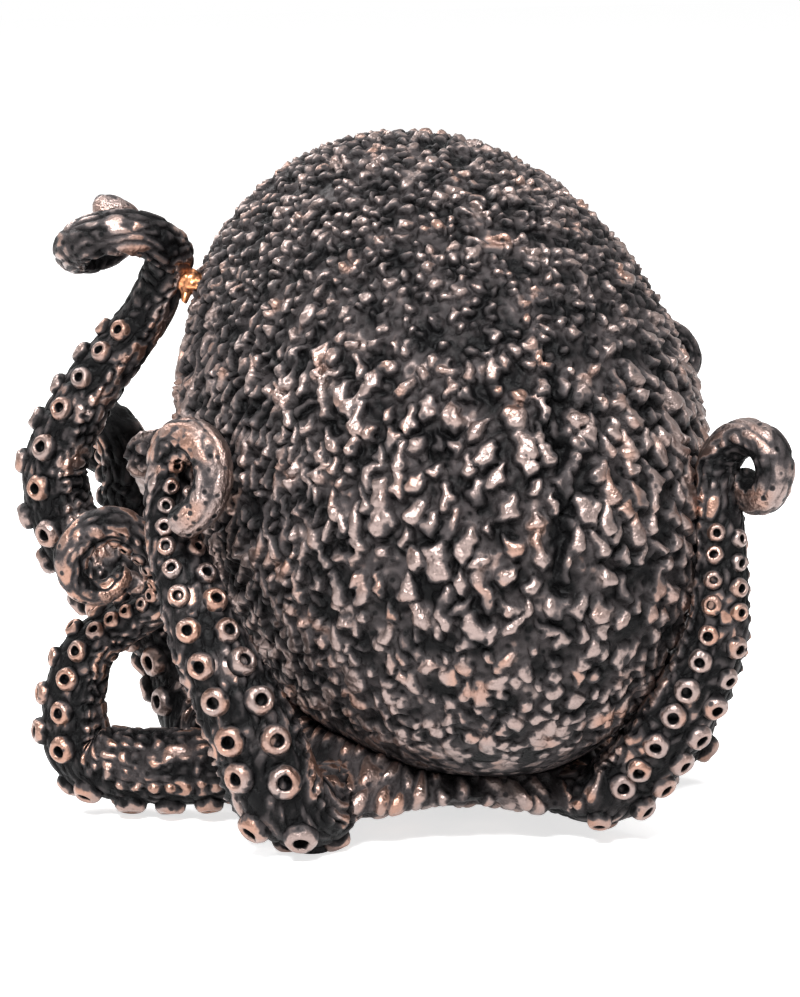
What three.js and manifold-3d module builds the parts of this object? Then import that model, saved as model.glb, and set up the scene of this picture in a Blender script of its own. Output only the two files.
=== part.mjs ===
// Skull octopus figurine: a hollow skull-faced mantle seated on a cast web, with eight arms set round it.
// Units are millimetres, +Z is up, the skull faces -Y and its own left side is +X.
import * as THREE from 'three';
import { mergeVertices } from 'three/addons/utils/BufferGeometryUtils.js';
import Module from 'manifold-3d';

const wasm = await Module();
wasm.setup();

// Driving dimensions
const clearance = 0.3; // between pieces that touch
const headWidth = 103;
const headLength = 150;
const headDepth = 121;
const headTilt = 32; // degrees, the face end of the mantle up
const headCentreHeight = 75;
const shellWall = 8;
const faceWall = 14; // extra wall behind the face
const headFootHeight = 16; // flat foot ring of the mantle
const spigotRadius = 11;
const spigotHeight = 7;
const groundHeight = 1.5; // the resting plane, a little under the lowest arms
const padThickness = 1.2;
const padRadius = 3.6;
const hubHeight = 5.5; // flat middle of the web's underside
const hubFlatRadius = 22;
const webReach = 46; // rim of the web at an arm
const webDip = 5; // how far the rim draws in between two arms
const webLift = 2.4; // how much higher than the hub the lower edge lies at an arm
const webArch = 2.4; // and how much higher again between two arms
const webRimHeight = 12.5;
const tenonRadius = 3.2;
const tenonLength = 8;
const plugRadius = 6;
const plugFlange = 8;
const plugFlangeThickness = 2;
const skinDetail = 22; // how finely the mantle's skin is divided
const skinCentreHeight = 86; // the skin is measured outwards from this point of the axis
const orbitSpread = 17;
const orbitHeight = 83;
const noseHeight = 63;
const cheekHeight = 67;
const cheekSpread = 37;
const jawHeight = 45;
const toothCount = 8;
const toothWidth = 5;
const toothLength = 12;
const toothArc = 14; // radius of the row of teeth
const bondHeight = 110; // where the tall left arm leans on the mantle
const suckerShare = 0.33; // sucker radius as a share of the arm's half width
const smallestSuckerArm = 5.6; // half width below which suckers are left smooth

// Rows along an arm: azimuth and height of the centre line, stand-off from the mantle's skin,
// half width, the azimuth the suckers look to while the arm stands upright, and the bank of its curl.
const arms = {
  arm_rear_left: {
    path: [
      [32, 11, -6, 7.2, 32], [33.5, 9.2, 7, 9, 36], [31.5, 14, 14.5, 9.3, 48],
      [27.5, 25, 17.5, 8.9, 62], [23, 35, 17, 8.2, 68], [17.5, 45.5, 14.5, 7.3, 72],
      [12, 54.5, 12, 6.3, 74], [7, 62, 10.8, 5.5, 82], [4.5, 70, 10, 5, 100], [4.4, 77.5, 9.4, 4.7, 122],
    ],
    curl: { turn: 240, from: 5.4, to: 9, tip: 4.2, drift: 6 },
  },
  arm_rear_right: {
    path: [
      [106, 10, -20, 5.6, 106], [109, 11, -8, 7.4, 95], [112.5, 16.5, -1.5, 7.6, 80],
      [113.5, 26, 6.5, 7.4, 76], [115, 36, 8.5, 7, 76], [116, 46, 7.8, 6.2, 76],
      [116.5, 55, 6, 5.4, 76], [117.5, 63, 4.8, 5, 80], [118.5, 71.2, 4, 4.8, 96], [119.5, 76.5, 4, 4.7, 108],
    ],
    curl: { turn: 340, from: 6.8, to: 4.4, tip: 3.8, drift: -5 },
  },
  arm_left_loop: {
    path: [
      [4, 12, -4, 7.2, 4], [-6, 11.5, 13, 8.8, 6], [-14, 11, 30, 8.8, 10], [-17, 14, 38.5, 8.2, 12],
      [-18, 24, 40, 7.3, 14], [-18.5, 34, 34, 6.2, 14], [-18, 39.5, 25, 5.4, 14],
      [-15.5, 43, 18, 4.9, 10], [-12.5, 46, 12.5, 4.6, 0], [-10.5, 51, 9.5, 4.5, -10],
      [-9.5, 57, 10.5, 4.4, -10], [-9, 61, 14, 4.4, -10],
    ],
    curl: { turn: 290, from: 8.6, to: 4, tip: 2.6, drift: -2 },
  },
  arm_left_tall: {
    path: [
      [-24, 11.5, 2, 6.6, -24], [-30, 14, 13, 8.6, -14], [-34.5, 21, 17, 9, -6],
      [-38, 30, 20, 9, -2], [-39.5, 38, 22, 8.9, 2], [-39.5, 46, 26, 8.6, 6], [-39, 56, 28.5, 8.2, 8],
      [-39, 66, 28, 7.8, 8], [-39.5, 75, 24.5, 7.4, 8], [-41, 86, 18, 6.8, 8], [-42, 95, 12, 6.2, 8],
      [-42, 102, 8.5, 5.7, 6, 10], [-40.5, 108.5, 7.8, 5.5, 8, 32], [-37.5, 114.5, 9, 5.3, 25, 52],
      [-33, 117, 13, 5.1, 60, 66],
    ],
    curl: { turn: 430, from: 10.2, to: 3, tip: 3, drift: 11 },
  },
  arm_front_left: {
    path: [
      [-64, 11.5, -8, 7.2, -64], [-69, 9.3, 8, 9, -66], [-73, 9.6, 22, 8.8, -70],
      [-74, 13, 33, 8.5, -72], [-72, 21, 39.5, 8.1, -72], [-69.3, 31, 39, 7.7, -70],
      [-66.5, 41, 34.5, 7.3, -68], [-64, 50, 29, 6.9, -66], [-61.8, 57.5, 24.8, 6.5, -64],
      [-60.5, 63.5, 21.8, 6.2, -62],
    ],
    curl: { turn: 285, from: 9.4, to: 5.6, tip: 2.8, drift: 6 },
  },
  arm_front_right: {
    path: [
      [-116, 11.5, -8, 7.2, -116], [-114, 9.5, 8, 9.2, -116], [-111, 9.8, 24, 9, -110],
      [-113, 12, 38, 8.2, -100], [-117, 19, 46, 7.3, -92], [-120, 28, 45, 6.4, -88],
      [-121, 36, 40, 5.6, -86], [-120, 42, 34, 5, -84],
    ],
    curl: { turn: 310, from: 7.6, to: 3.8, tip: 2.4, drift: -6 },
  },
  arm_right_loop: {
    path: [
      [206, 12, -4, 7.2, 206], [209, 11.5, 12, 9, 205], [212, 11.5, 27, 8.8, 203],
      [215, 17, 36, 8.2, 200], [217, 28, 37, 7.5, 196], [218, 40, 34, 6.8, 192],
      [219, 51, 31, 6.2, 188], [221, 61, 29, 5.6, 184], [223, 68, 26, 5, 182],
    ],
    curl: { turn: 320, from: 7, to: 3.6, tip: 2.4, drift: 6 },
  },
  arm_right_tall: {
    path: [
      [166, 11, -5, 7.2, 166], [168, 9.1, 8, 8.8, 166], [171, 14, 17, 8.9, 168],
      [174.5, 25, 18.5, 8.6, 172], [179, 37, 15.5, 8, 176], [184, 50, 11.5, 7.2, 178],
      [189, 62, 9.5, 6.4, 178], [194, 74, 8.5, 5.6, 180], [197.5, 82, 8.5, 4.9, 182],
      [199, 87, 9, 4.4, 184],
    ],
    curl: { turn: 320, from: 6.2, to: 3.4, tip: 2.4, drift: 5 },
  },
};

// Shared geometry helpers
const radians = THREE.MathUtils.degToRad;
const tilt = radians(headTilt);
const headCentre = new THREE.Vector3(0, 0, headCentreHeight);

function solidFrom(geometry) {
  const bare = geometry.clone();
  bare.deleteAttribute('normal');
  bare.deleteAttribute('uv');
  const merged = mergeVertices(bare, 1e-4);
  const mesh = new wasm.Mesh({
    numProp: 3,
    vertProperties: new Float32Array(merged.attributes.position.array),
    triVerts: new Uint32Array(merged.index.array),
  });
  return new wasm.Manifold(mesh);
}

function meshFrom(name, solid, material) {
  const body = biggestBody(solid);
  const data = body.getMesh();
  const geometry = new THREE.BufferGeometry();
  geometry.setAttribute('position', new THREE.BufferAttribute(new Float32Array(data.vertProperties), 3));
  geometry.setIndex(new THREE.BufferAttribute(new Uint32Array(data.triVerts), 1));
  geometry.computeVertexNormals();
  const mesh = new THREE.Mesh(geometry, material);
  mesh.name = name;
  return mesh;
}

function biggestBody(solid) {
  let best = null;
  for (const body of solid.decompose()) {
    if (best === null || body.volume() > best.volume()) best = body;
  }
  return best;
}

function joined(solids) {
  return solids.reduce((sum, solid) => sum.add(solid));
}

function ellipsoid(radii, centre, lean = 0, around = 20, rows = 12) {
  const geometry = new THREE.SphereGeometry(1, around, rows);
  geometry.scale(radii[0], radii[2], radii[1]);
  geometry.rotateX(Math.PI / 2);
  geometry.rotateX(-lean);
  geometry.translate(centre[0], centre[1], centre[2]);
  return solidFrom(geometry);
}

function cylinder(radius, bottom, top, x = 0, y = 0, sides = 24) {
  const geometry = new THREE.CylinderGeometry(radius, radius, top - bottom, sides);
  geometry.rotateX(Math.PI / 2);
  geometry.translate(x, y, (top + bottom) / 2);
  return solidFrom(geometry);
}

// Horizontal reach of the mantle's skin from the upright axis
function mantleReach(azimuth, height) {
  const level = THREE.MathUtils.clamp(height, headCentreHeight - 45, headCentreHeight + 47) - headCentreHeight;
  const run = [Math.cos(azimuth), Math.cos(tilt) * Math.sin(azimuth), Math.sin(tilt) * Math.sin(azimuth)];
  const start = [0, -Math.sin(tilt) * level, Math.cos(tilt) * level];
  const half = [headWidth / 2, headLength / 2, headDepth / 2];
  let a = 0;
  let b = 0;
  let c = -1;
  for (let i = 0; i < 3; i += 1) {
    a += (run[i] / half[i]) ** 2;
    b += (run[i] * start[i]) / half[i] ** 2;
    c += (start[i] / half[i]) ** 2;
  }
  return (-b + Math.sqrt(b * b - a * c)) / a;
}

// Front skin of the mantle at a sideways offset and height
function frontSkin(x, height) {
  const level = height - headCentreHeight;
  const half = [headWidth / 2, headLength / 2, headDepth / 2];
  const a = (Math.cos(tilt) / half[1]) ** 2 + (Math.sin(tilt) / half[2]) ** 2;
  const b = Math.sin(tilt) * Math.cos(tilt) * level * (1 / half[2] ** 2 - 1 / half[1] ** 2);
  const c = (x / half[0]) ** 2 + ((Math.sin(tilt) * level) / half[1]) ** 2
    + ((Math.cos(tilt) * level) / half[2]) ** 2 - 1;
  return (-b - Math.sqrt(b * b - a * c)) / a;
}

// Centre line of an arm with its half widths, headings and sucker normals
function armLine(arm) {
  const rows = arm.path.map((row) => {
    const azimuth = radians(row[0]);
    const reach = mantleReach(azimuth, row[1]) + row[2];
    return [reach * Math.cos(azimuth), reach * Math.sin(azimuth), row[1], row[3], row[4], row[5] ?? 0];
  });
  const line = sampleRows(rows).map((row) => ({
    at: new THREE.Vector3(row[0], row[1], row[2]),
    half: row[3],
    facing: radians(row[4]),
    bank: radians(row[5]),
  }));
  for (let i = 0; i < line.length; i += 1) {
    const before = line[Math.max(i - 1, 0)].at;
    const after = line[Math.min(i + 1, line.length - 1)].at;
    const point = line[i];
    point.heading = after.clone().sub(before).normalize();
    const across = new THREE.Vector3(
      Math.sin(point.facing) * Math.cos(point.bank),
      -Math.cos(point.facing) * Math.cos(point.bank),
      Math.sin(point.bank),
    );
    point.normal = point.heading.clone().cross(across).normalize();
  }
  return line.concat(curlLine(line[line.length - 1], arm.curl));
}

// Catmull-Rom curve through the rows, sampled closer where it bends
function sampleRows(rows) {
  const spans = rows.length - 1;
  const row = (i) => {
    if (i < 0) return rows[0].map((v, k) => 2 * v - rows[1][k]);
    if (i > spans) return rows[spans].map((v, k) => 2 * v - rows[spans - 1][k]);
    return rows[i];
  };
  const blend = (t) => {
    const i = Math.min(Math.floor(t), spans - 1);
    const u = t - i;
    return row(i).map((p1, k) => {
      const p0 = row(i - 1)[k];
      const p2 = row(i + 1)[k];
      const p3 = row(i + 2)[k];
      return 0.5 * (2 * p1 + (p2 - p0) * u + (2 * p0 - 5 * p1 + 4 * p2 - p3) * u * u
        + (3 * p1 - p0 - 3 * p2 + p3) * u * u * u);
    });
  };
  const samples = [rows[0]];
  const steps = spans * 40;
  let previous = new THREE.Vector3(...rows[0]);
  let course = null;
  let bend = 0;
  let gap = 0;
  for (let i = 1; i <= steps; i += 1) {
    const next = blend((i * spans) / steps);
    const here = new THREE.Vector3(...next);
    const stride = here.clone().sub(previous);
    if (course !== null) bend += stride.angleTo(course);
    gap += stride.length();
    course = stride;
    previous = here;
    if (i === steps || gap >= next[3] * 1.35 || (gap >= 2.8 && bend > radians(17))) {
      samples.push(next);
      bend = 0;
      gap = 0;
    }
  }
  return samples;
}

// Spiral that carries the arm on from its last point, rolled towards the suckers
function curlLine(end, curl) {
  const binormal = end.normal.clone().cross(end.heading);
  const total = radians(curl.turn);
  const count = Math.round(curl.turn / 33);
  const points = [];
  const at = end.at.clone();
  for (let i = 1; i <= count; i += 1) {
    const share = i / count;
    const middle = (share - 0.5 / count) * total;
    const radius = THREE.MathUtils.lerp(curl.from, curl.to, share - 0.5 / count);
    at.addScaledVector(turned(end, middle), (radius * total) / count);
    at.addScaledVector(binormal, curl.drift / count);
    points.push({
      at: at.clone(),
      half: THREE.MathUtils.lerp(end.half, curl.tip, share),
      heading: turned(end, share * total),
      normal: turned(end, share * total + Math.PI / 2),
      curled: true,
    });
  }
  return points;
}

function turned(end, angle) {
  return end.heading.clone().multiplyScalar(Math.cos(angle)).addScaledVector(end.normal, Math.sin(angle));
}

// Arm body: broad and round on the back, flatter where the suckers sit
function armTube(line, grow) {
  return tube(line, grow, 8, 0.74);
}

// Closed tube along a line of points, each with a heading, a normal and a half width
function tube(line, grow, sides, flatness) {
  const positions = [];
  const index = [];
  for (const point of line) {
    const across = point.normal.clone().cross(point.heading);
    for (let k = 0; k < sides; k += 1) {
      const angle = ((k + 0.5) / sides) * 2 * Math.PI;
      const high = Math.sin(angle) > 0 ? flatness : 0.94;
      const spot = point.at.clone()
        .addScaledVector(across, (point.half + grow) * Math.cos(angle))
        .addScaledVector(point.normal, (point.half * high + grow) * Math.sin(angle));
      positions.push(spot.x, spot.y, spot.z);
    }
  }
  const first = line[0];
  const last = line[line.length - 1];
  const root = first.at.clone().addScaledVector(first.heading, -grow);
  const tip = last.at.clone().addScaledVector(last.heading, last.half * 0.8 + grow);
  positions.push(root.x, root.y, root.z, tip.x, tip.y, tip.z);
  const rootId = line.length * sides;
  for (let i = 0; i < line.length - 1; i += 1) {
    for (let k = 0; k < sides; k += 1) {
      const a = i * sides + k;
      const b = i * sides + ((k + 1) % sides);
      index.push(a, b, b + sides, a, b + sides, a + sides);
    }
  }
  for (let k = 0; k < sides; k += 1) {
    const next = (k + 1) % sides;
    const end = (line.length - 1) * sides;
    index.push(rootId, next, k, rootId + 1, end + k, end + next);
  }
  const geometry = new THREE.BufferGeometry();
  geometry.setAttribute('position', new THREE.Float32BufferAttribute(positions, 3));
  geometry.setIndex(index);
  return solidFrom(geometry);
}

// Round peg that carries an arm's root into the web
function armTenon(line, grow) {
  const root = line[0];
  const geometry = new THREE.CylinderGeometry(tenonRadius + grow, tenonRadius + grow, tenonLength + 2 + grow, 10);
  geometry.translate(0, -(tenonLength + grow) / 2 + 1, 0);
  const turn = new THREE.Quaternion().setFromUnitVectors(new THREE.Vector3(0, 1, 0), root.heading);
  geometry.applyQuaternion(turn);
  geometry.translate(root.at.x, root.at.y, root.at.z);
  return solidFrom(geometry);
}

// Two staggered rows of suckers on the flatter face
function armSuckers(line, grow) {
  const suckers = [];
  for (const side of [-1, 1]) {
    let wait = side > 0 ? 0 : 3;
    for (let i = 1; i < line.length; i += 1) {
      const before = line[i - 1];
      const point = line[i];
      if (point.curled || point.half < smallestSuckerArm) break;
      if (Math.hypot(point.at.x, point.at.y) < webReach + point.half * suckerShare * 3.4) continue;
      const span = point.at.distanceTo(before.at);
      wait -= span;
      if (wait > 0) continue;
      const share = THREE.MathUtils.clamp(1 + wait / span, 0, 1);
      suckers.push(oneSucker(before, point, share, side, grow));
      wait += point.half * suckerShare * 3.2;
    }
  }
  return suckers;
}

function oneSucker(before, point, share, side, grow) {
  const half = THREE.MathUtils.lerp(before.half, point.half, share);
  const normal = before.normal.clone().lerp(point.normal, share).normalize();
  const heading = before.heading.clone().lerp(point.heading, share).normalize();
  const across = normal.clone().cross(heading).normalize();
  const radius = half * suckerShare;
  const axis = normal.clone().multiplyScalar(0.93).addScaledVector(across, 0.36 * side).normalize();
  const geometry = new THREE.CylinderGeometry(radius * 0.72 + grow, radius + grow, radius * 1.3 + grow, 5);
  geometry.applyQuaternion(new THREE.Quaternion().setFromUnitVectors(new THREE.Vector3(0, 1, 0), axis));
  const spot = before.at.clone().lerp(point.at, share)
    .addScaledVector(across, half * 0.47 * side)
    .addScaledVector(normal, half * 0.56);
  geometry.translate(spot.x, spot.y, spot.z);
  geometry.translate(axis.x * radius * 0.45, axis.y * radius * 0.45, axis.z * radius * 0.45);
  return solidFrom(geometry);
}

function armBlank(line, grow) {
  return joined([armTube(line, grow), ...armSuckers(line, grow)]);
}

// Nearly the distance from a point to an ellipsoid, spun about Y
function toBall(p, centre, radii, spin = 0) {
  const dx = p[0] - centre[0];
  const dz = p[2] - centre[2];
  const q = [Math.cos(spin) * dx - Math.sin(spin) * dz, p[1] - centre[1], Math.sin(spin) * dx + Math.cos(spin) * dz];
  return toEllipsoid(q, radii);
}

function toEllipsoid(q, radii) {
  const near = Math.hypot(q[0] / radii[0], q[1] / radii[1], q[2] / radii[2]);
  const steep = Math.hypot(q[0] / radii[0] ** 2, q[1] / radii[1] ** 2, q[2] / radii[2] ** 2);
  return (near * (near - 1)) / Math.max(steep, 1e-9);
}

// Distance to a rod that tapers from one radius to another
function toRod(p, start, end, startRadius, endRadius) {
  const along = end.map((v, k) => v - start[k]);
  const from = p.map((v, k) => v - start[k]);
  const whole = along.reduce((sum, v) => sum + v * v, 0);
  const share = THREE.MathUtils.clamp(from.reduce((sum, v, k) => sum + v * along[k], 0) / whole, 0, 1);
  const gap = Math.hypot(...from.map((v, k) => v - share * along[k]));
  return gap - startRadius - share * (endRadius - startRadius);
}

// Two distances run together over a width
function melt(one, two, width) {
  const share = THREE.MathUtils.clamp(0.5 + (0.5 * (two - one)) / width, 0, 1);
  return two * (1 - share) + one * share - width * share * (1 - share);
}

function carve(body, tool, width) {
  return -melt(-body, tool, width);
}

function onSkin(x, height, proud) {
  return [x, frontSkin(x, height) - proud, height];
}

function toPlainMantle(p) {
  const z = p[2] - headCentreHeight;
  const q = [p[0], Math.cos(tilt) * p[1] - Math.sin(tilt) * z, Math.sin(tilt) * p[1] + Math.cos(tilt) * z];
  return toEllipsoid(q, [headWidth / 2, headLength / 2, headDepth / 2]);
}

// Face features worked into the mantle, each a list of rods or a ball given for the left half
const browRods = [
  [onSkin(3, orbitHeight + 5, 0), onSkin(11, orbitHeight + 11, 2.5), 4, 5],
  [onSkin(11, orbitHeight + 11, 2.5), onSkin(23, orbitHeight + 12, 3), 5, 4.8],
  [onSkin(23, orbitHeight + 12, 3), onSkin(31, orbitHeight + 3, 1), 4.8, 3.6],
];
const cheekTurn = [cheekSpread + 1, -55, cheekHeight - 2];
const cheekCorner = [cheekSpread + 9, -44, cheekHeight + 4];
const cheekRods = [
  [onSkin(13, cheekHeight - 14, 1), onSkin(25, cheekHeight - 8, 4.5), 5.5, 6.5],
  [onSkin(25, cheekHeight - 8, 4.5), cheekTurn, 6.5, 6],
  [cheekTurn, cheekCorner, 6, 4.6],
  [cheekCorner, [cheekSpread + 11, -30, cheekHeight + 9], 4.6, 3],
];
const noseBridge = [onSkin(0, orbitHeight + 6, 1), onSkin(0, noseHeight + 9, 4), 5, 3.4];
const jaw = [0, frontSkin(0, jawHeight) + 12, jawHeight];

function toHead(point) {
  const body = toPlainMantle(point);
  if (point[1] > -5) return body;
  const p = [Math.abs(point[0]), point[1], point[2]];
  const ridgeOf = (rods, width) => rods
    .map(([start, end, first, last]) => toRod(p, start, end, first, last))
    .reduce((sum, rod) => melt(sum, rod, width));
  let face = carve(body, toBall(p, onSkin(43, 90, 8), [10, 19, 16]), 8);
  face = melt(face, ridgeOf(browRods, 2), 3.5);
  face = melt(face, ridgeOf(cheekRods, 3), 3);
  face = melt(face, toRod(p, ...noseBridge), 5);
  face = melt(face, toBall(p, jaw, [20, 17, 21]), 6);
  face = carve(face, toBall(p, onSkin(31, 46, 0), [9, 11, 9]), 6);
  const socketSkin = frontSkin(orbitSpread, orbitHeight);
  face = carve(face, toBall(p, [orbitSpread, socketSkin - 1, orbitHeight], [12.4, 13, 10.8], -0.25), 2.2);
  face = carve(face, toBall(p, [orbitSpread - 1, socketSkin + 7, orbitHeight], [8.5, 11, 7.5]), 3);
  const noseSkin = frontSkin(0, noseHeight) + 1;
  const nostril = toBall(p, [2.9, noseSkin, noseHeight - 3.5], [3.6, 13, 5.6], 0.25);
  return carve(face, melt(nostril, toBall(p, [0, noseSkin, noseHeight + 4], [2.8, 12, 7]), 1.5), 1.4);
}

// Skin of the mantle with its skull face, found along even directions from a point inside
function headSkin(grow) {
  const sphere = new THREE.IcosahedronGeometry(1, skinDetail);
  sphere.deleteAttribute('normal');
  sphere.deleteAttribute('uv');
  const skin = mergeVertices(sphere, 1e-4);
  const place = skin.attributes.position;
  for (let i = 0; i < place.count; i += 1) {
    const way = new THREE.Vector3().fromBufferAttribute(place, i).normalize();
    let reach = 95;
    for (let step = 0; step < 34; step += 1) {
      reach -= 0.85 * toHead([way.x * reach, way.y * reach, skinCentreHeight + way.z * reach]);
    }
    place.setXYZ(i, way.x * reach, way.y * reach, skinCentreHeight + way.z * reach);
  }
  skin.computeVertexNormals();
  const normal = skin.attributes.normal;
  for (let i = 0; i < place.count; i += 1) {
    const x = place.getX(i) + grow * normal.getX(i);
    const y = place.getY(i) + grow * normal.getY(i);
    place.setXYZ(i, x, y, place.getZ(i) + grow * normal.getZ(i));
  }
  return solidFrom(skin);
}

function teeth() {
  const row = [];
  const middleY = frontSkin(0, jawHeight) + 12;
  for (let i = 0; i < toothCount; i += 1) {
    const angle = ((i - (toothCount - 1) / 2) * toothWidth) / toothArc;
    const geometry = new THREE.CylinderGeometry(toothWidth * 0.56, toothWidth * 0.44, toothLength, 6);
    geometry.rotateX(Math.PI / 2);
    geometry.translate(toothArc * Math.sin(angle), middleY - toothArc * Math.cos(angle), jawHeight - 15);
    row.push(solidFrom(geometry));
  }
  return row;
}

// Hollow inside the mantle, set back so that the wall is thicker behind the face
function mantleCavity() {
  const radii = [headWidth / 2 - shellWall, headLength / 2 - shellWall - faceWall / 2, headDepth / 2 - shellWall];
  const back = faceWall / 2;
  const centre = [0, back * Math.cos(tilt), headCentreHeight - back * Math.sin(tilt)];
  return ellipsoid(radii, centre, tilt, 20, 12);
}

function headShell() {
  const cavity = mantleCavity();
  const bore = cylinder(spigotRadius, headFootHeight - 30, headFootHeight + 14, 0, footCentre());
  const below = cylinder(90, headFootHeight - 60, headFootHeight, 0, 0, 12);
  return joined([headSkin(0), ...teeth()]).subtract(cavity).subtract(bore).subtract(below);
}

// Middle of the mantle's foot ring, behind the upright axis because the mantle leans back
function footCentre() {
  const long = (headLength / 2) ** 2;
  const deep = (headDepth / 2) ** 2;
  const drop = headCentreHeight - headFootHeight;
  const spread = long * Math.sin(tilt) ** 2 + deep * Math.cos(tilt) ** 2;
  return ((long - deep) * Math.sin(tilt) * Math.cos(tilt) * drop) / spread;
}

// Cast web: hollowed underside, arched edge between the arms, cradle for the mantle and a socket per arm
function webBlank() {
  const around = 48;
  const rootAngles = Object.values(arms).map((arm) => arm.path[1][0]);
  const profile = (azimuth) => {
    let nearest = 180;
    for (const root of rootAngles) {
      const off = Math.abs(((azimuth - root + 540) % 360) - 180);
      nearest = Math.min(nearest, off);
    }
    const open = THREE.MathUtils.smoothstep(nearest, 9, 30);
    const front = THREE.MathUtils.smoothstep(-Math.sin(radians(azimuth)), -0.2, 0.9);
    const rim = webReach - webDip * open;
    return [
      [hubFlatRadius, hubHeight],
      [rim, hubHeight + webLift + webArch * open],
      [rim, webRimHeight + open + 3 * front],
      [rim - 8, webRimHeight + 6 + 10 * front],
      [14, 34 + 8 * front],
    ];
  };
  const positions = [];
  const index = [];
  const rings = 5;
  for (let i = 0; i < around; i += 1) {
    const azimuth = (i * 360) / around;
    for (const [radius, height] of profile(azimuth)) {
      positions.push(radius * Math.cos(radians(azimuth)), radius * Math.sin(radians(azimuth)), height);
    }
  }
  positions.push(0, 0, hubHeight, 0, 0, 38);
  const centreId = around * rings;
  for (let i = 0; i < around; i += 1) {
    const a = i * rings;
    const b = ((i + 1) % around) * rings;
    index.push(centreId, b, a, centreId + 1, a + rings - 1, b + rings - 1);
    for (let k = 0; k < rings - 1; k += 1) {
      index.push(a + k, b + k, b + k + 1, a + k, b + k + 1, a + k + 1);
    }
  }
  const geometry = new THREE.BufferGeometry();
  geometry.setAttribute('position', new THREE.Float32BufferAttribute(positions, 3));
  geometry.setIndex(index);
  return solidFrom(geometry);
}

function webBase(lines) {
  const bottom = hubHeight;
  const floor = headFootHeight - clearance;
  const y = footCentre();
  let web = webBlank().subtract(grownHead.subtract(cylinder(90, -40, floor, 0, 0, 12)));
  web = web.add(cylinder(spigotRadius - clearance, floor - 4, headFootHeight + spigotHeight, 0, y));
  web = web.subtract(cylinder(plugRadius, bottom - 1, headFootHeight + spigotHeight + 1, 0, y, 20));
  web = web.subtract(cylinder(plugFlange, bottom - 1, bottom + plugFlangeThickness, 0, y, 20));
  for (const line of lines) {
    web = web.subtract(armBlank(line, clearance)).subtract(armTenon(line, clearance));
  }
  return web;
}

// Round stopper for the pour hole
function pourPlug() {
  const y = footCentre();
  const flangeTop = hubHeight + plugFlangeThickness - clearance;
  const flange = cylinder(plugFlange - clearance, hubHeight, flangeTop, 0, y, 20);
  const stem = cylinder(plugRadius - clearance, hubHeight + 0.5, hubHeight + 11, 0, y, 20);
  return flange.add(stem);
}

// Bead of adhesive where the tall left arm leans on the mantle
function bondBead(line) {
  const near = line.reduce((best, point) => (
    Math.abs(point.at.z - bondHeight) < Math.abs(best.at.z - bondHeight) && !point.curled ? point : best
  ));
  const inward = headCentre.clone().sub(near.at).normalize();
  const at = near.at.clone().addScaledVector(inward, near.half + 0.4);
  return ellipsoid([3.4, 3.4, 3], at.toArray(), 0, 12, 8);
}

// Materials
function castMetalMaterial() {
  return new THREE.MeshStandardMaterial({ color: 0x6b5149, roughness: 0.42, metalness: 0.75 });
}

function feltMaterial() {
  return new THREE.MeshStandardMaterial({ color: 0x1f1f21, roughness: 0.95, metalness: 0 });
}

function plugMaterial() {
  return new THREE.MeshStandardMaterial({ color: 0x2a2625, roughness: 0.7, metalness: 0 });
}

function bondMaterial() {
  return new THREE.MeshStandardMaterial({ color: 0xb96f3c, roughness: 0.35, metalness: 0.8 });
}

// Assembly
const lines = Object.fromEntries(Object.entries(arms).map(([name, arm]) => [name, armLine(arm)]));
const names = Object.keys(lines);
const object = new THREE.Group();
object.name = 'skull_octopus_figurine';

const grownHead = headSkin(clearance);
const head = headShell();
object.add(meshFrom('skull_mantle_shell', head, castMetalMaterial()));
object.add(meshFrom('web_base', webBase(Object.values(lines)), castMetalMaterial()));

const underArms = cylinder(120, groundHeight - 20, groundHeight + padThickness + clearance, 0, 0, 12);
names.forEach((name, i) => {
  let arm = armBlank(lines[name], 0).subtract(grownHead).add(armTenon(lines[name], 0));
  for (const other of names.slice(0, i)) arm = arm.subtract(armBlank(lines[other], clearance));
  object.add(meshFrom(name, arm.subtract(underArms), castMetalMaterial()));
});

const bead = bondBead(lines.arm_left_tall).subtract(grownHead).subtract(armBlank(lines.arm_left_tall, clearance));
object.add(meshFrom('arm_tip_bond_bead', bead, bondMaterial()));
object.add(meshFrom('pour_hole_plug', pourPlug(), plugMaterial()));

// A felt pad under the lowest stretch of four arms, where their undersides are ground flat
const paddedArms = {
  rear_left: 'arm_rear_left',
  rear_right: 'arm_right_tall',
  front_right: 'arm_front_right',
  front_left: 'arm_front_left',
};
for (const [place, arm] of Object.entries(paddedArms)) {
  const lowest = lines[arm].reduce((best, point) => (point.at.z - point.half < best.at.z - best.half ? point : best));
  const { x, y } = lowest.at;
  const pad = cylinder(padRadius, groundHeight, groundHeight + padThickness, x, y);
  object.add(meshFrom(`felt_pad_${place}`, pad, feltMaterial()));
}

// The frame's origin is the middle of the plan box, on the resting plane
const extent = new THREE.Box3().setFromObject(object);
object.position.set(-(extent.min.x + extent.max.x) / 2, -(extent.min.y + extent.max.y) / 2, -groundHeight);

export default object;
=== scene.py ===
# Skull octopus figurine: a hollow skull-faced mantle on a cast web, with eight sucker arms curling up
# round it. Lengths are in millimetres round the mantle's upright axis until stand_in_frame() turns them
# into metres.
# The skull faces -Y and its own left side is +X.
import itertools
import math

import bpy
import numpy as np
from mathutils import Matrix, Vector, kdtree


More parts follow.
